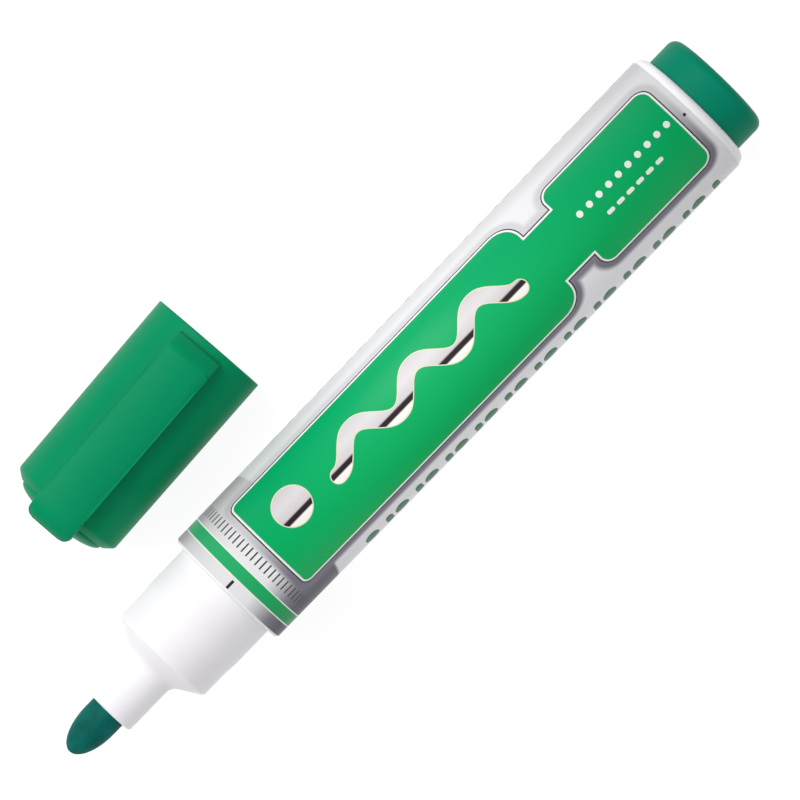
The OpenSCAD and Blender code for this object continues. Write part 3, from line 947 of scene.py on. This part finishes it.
def make_softbox():
    """A square soft box that faces the marker."""
    data = bpy.data.lights.new("key_softbox", "AREA")
    data.shape = "SQUARE"
    data.size = SOFTBOX_SIZE
    data.energy = SOFTBOX_WATTS
    light = bpy.data.objects.new("key_softbox", data)
    light.location = SOFTBOX_AT
    light.rotation_mode = "QUATERNION"
    light.rotation_quaternion = Vector(SOFTBOX_AT).to_track_quat("Z", "Y")
    bpy.context.scene.collection.objects.link(light)


def make_studio():
    make_floor()
    make_softbox()
    # a white ceiling over darker walls
    world = bpy.data.worlds.new("studio")
    world.use_nodes = True
    tree = world.node_tree
    way = add(tree, "ShaderNodeTexCoord")
    parts = add(tree, "ShaderNodeSeparateXYZ", links={"Vector": way.outputs["Generated"]})
    glow = add(tree, "ShaderNodeMapRange", {},
               {"Value": parts.outputs["Z"], "To Min": WALL_GLOW, "To Max": CEILING_GLOW})
    background = tree.nodes["Background"]
    background.inputs["Color"].default_value = (1, 1, 1, 1)
    tree.links.new(glow.outputs[0], background.inputs["Strength"])
    scene = bpy.context.scene
    scene.world = world
    scene.view_settings.view_transform = "Standard"


def make_camera():
    data = bpy.data.cameras.new("camera")
    data.lens = CAMERA_LENS
    data.sensor_width = 36
    data.clip_start = 0.01
    data.clip_end = 20
    camera = bpy.data.objects.new("camera", data)
    forward = (CAMERA_TARGET - CAMERA_AT).normalized()
    angle = math.radians(CAMERA_RIGHT_ANGLE)
    right = Vector((math.cos(angle), math.sin(angle), 0))
    right = (right - right.dot(forward) * forward).normalized()
    axes = Matrix((right, right.cross(forward), -forward)).transposed().to_4x4()
    camera.matrix_world = Matrix.Translation(CAMERA_AT) @ axes
    bpy.context.scene.collection.objects.link(camera)
    bpy.context.scene.camera = camera


def make_pieces():
    white = moulded_plastic(
        "moulded_white_polypropylene", base="#f0eef2", deep="#eceaee", grain_mm=0.25,
        roughness=0.4, bump_mm=0.004, shine=0.2, subsurface=0.15)
    tube = moulded_plastic(
        "moulded_white_barrel", base="#eeeef0", deep="#eaeaed", grain_mm=0.25,
        roughness=0.38, bump_mm=0.004, shine=0.15, subsurface=0.1)
    cap_green = moulded_plastic(
        "moulded_green_cap", base="#008c5d", deep="#008457", grain_mm=0.3,
        roughness=0.42, bump_mm=0.005, shine=0.06)
    plug_green = moulded_plastic(
        "moulded_green_plug", base="#007f62", deep="#00775b", grain_mm=0.3,
        roughness=0.42, bump_mm=0.005, shine=0.06)
    soaked_nib = fibre(
        "ink_soaked_fibre_nib", pale="#006b63", dark="#004e48", thread_mm=0.12,
        roughness=0.6, bump_mm=0.012)
    core = fibre(
        "ink_soaked_fibre_core", pale="#2f9a74", dark="#1f7d5d", thread_mm=0.2,
        roughness=0.8, bump_mm=0.01)
    rounded = (make_front_section(white), make_barrel(tube), make_tail_plug(plug_green),
               make_cap_shell(cap_green))
    for obj in rounded:
        weight_normals(obj)
    make_inner_cup(cap_green)
    make_label(printed_film())
    make_nib(soaked_nib)
    wrap = clear_film("clear_wrap_film")
    for node, material in (("ink_reservoir", core), ("reservoir_wrap", wrap)):
        obj = frame["nodes"][node]
        obj.data.materials.clear()
        obj.data.materials.append(material)


make_camera()
make_studio()
make_pieces()
